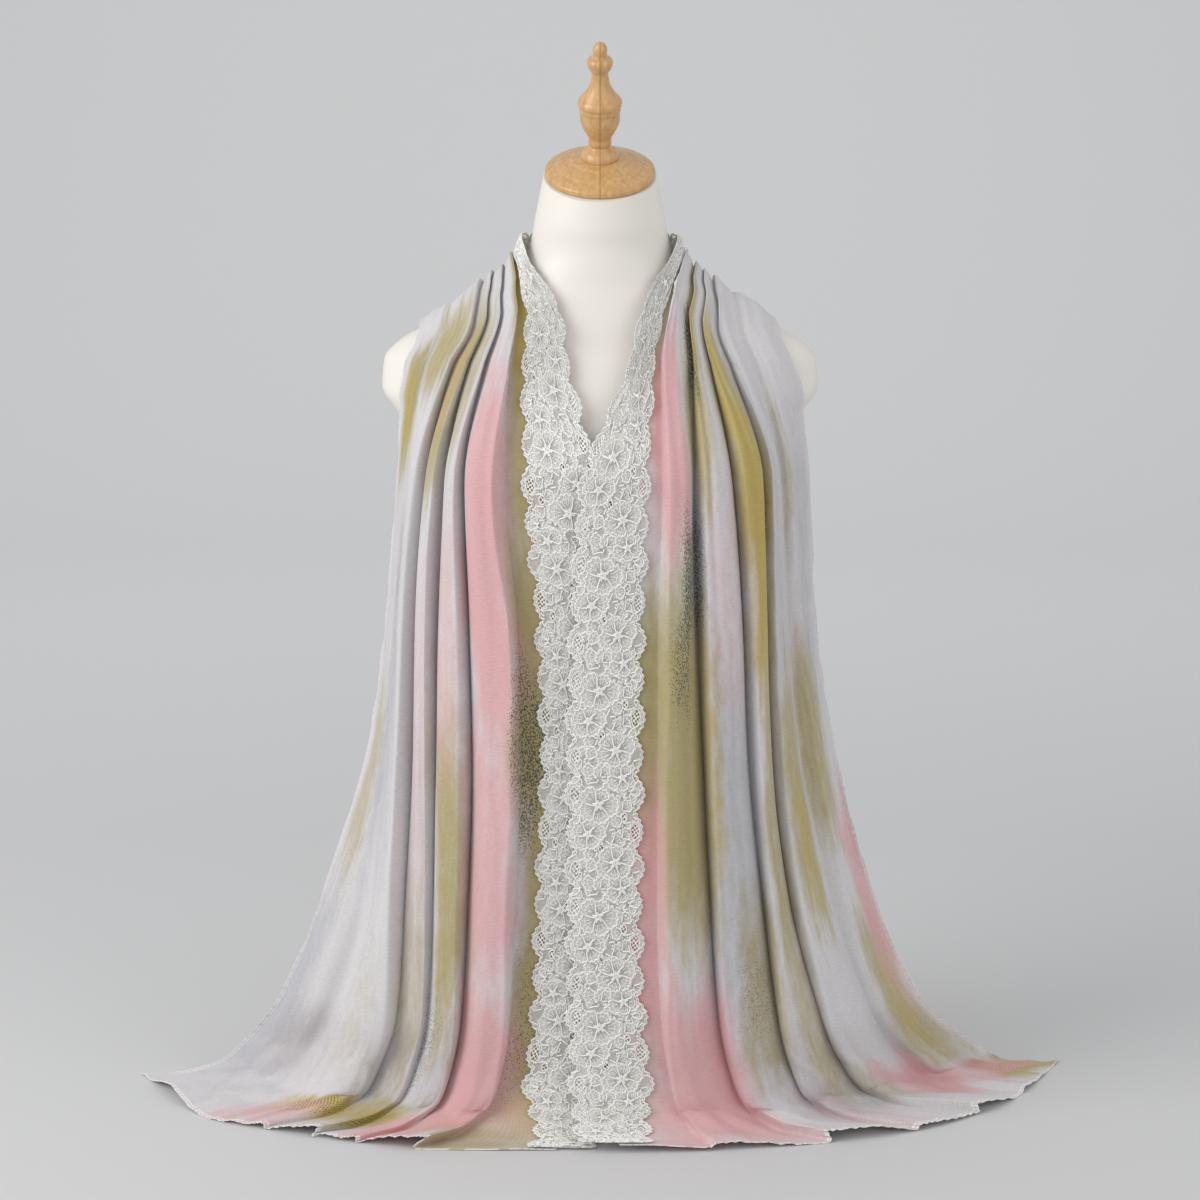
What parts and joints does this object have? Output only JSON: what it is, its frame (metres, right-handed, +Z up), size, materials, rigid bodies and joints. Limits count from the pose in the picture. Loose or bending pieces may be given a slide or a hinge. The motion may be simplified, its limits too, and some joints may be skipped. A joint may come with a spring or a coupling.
{
  "type": "hijab scarf on a dress form",
  "caption": "Long thin scarf with a scalloped lace border, draped round the neck of a limbless dress form and down its front, with its ends spread on the surface it stands on.",
  "frame": {"origin": "on the flat base of the dress form, on its vertical centre line", "axes": "+Z up, the form faces -Y, +X to the right of someone who looks at its front"},
  "size_m": [0.822, 0.3009, 0.9098],
  "materials": {
    "form_shell": "smooth satin shell",
    "turned_wood": "moulded and glossy, the colour of light wood",
    "voile": "thin plain-woven voile with a soft brushed wash of pink, olive and pale lavender",
    "lace": "white floral lace, corded outlines, scalloped on both edges"
  },
  "bodies": {
    "root": {"form_torso": "form_shell", "neck_cap": "turned_wood", "finial": "turned_wood", "scarf_nape": "voile", "scarf_left": "voile", "scarf_right": "voile", "lace_nape": "lace", "lace_left": "lace", "lace_right": "lace"}
  },
  "joints": []
}
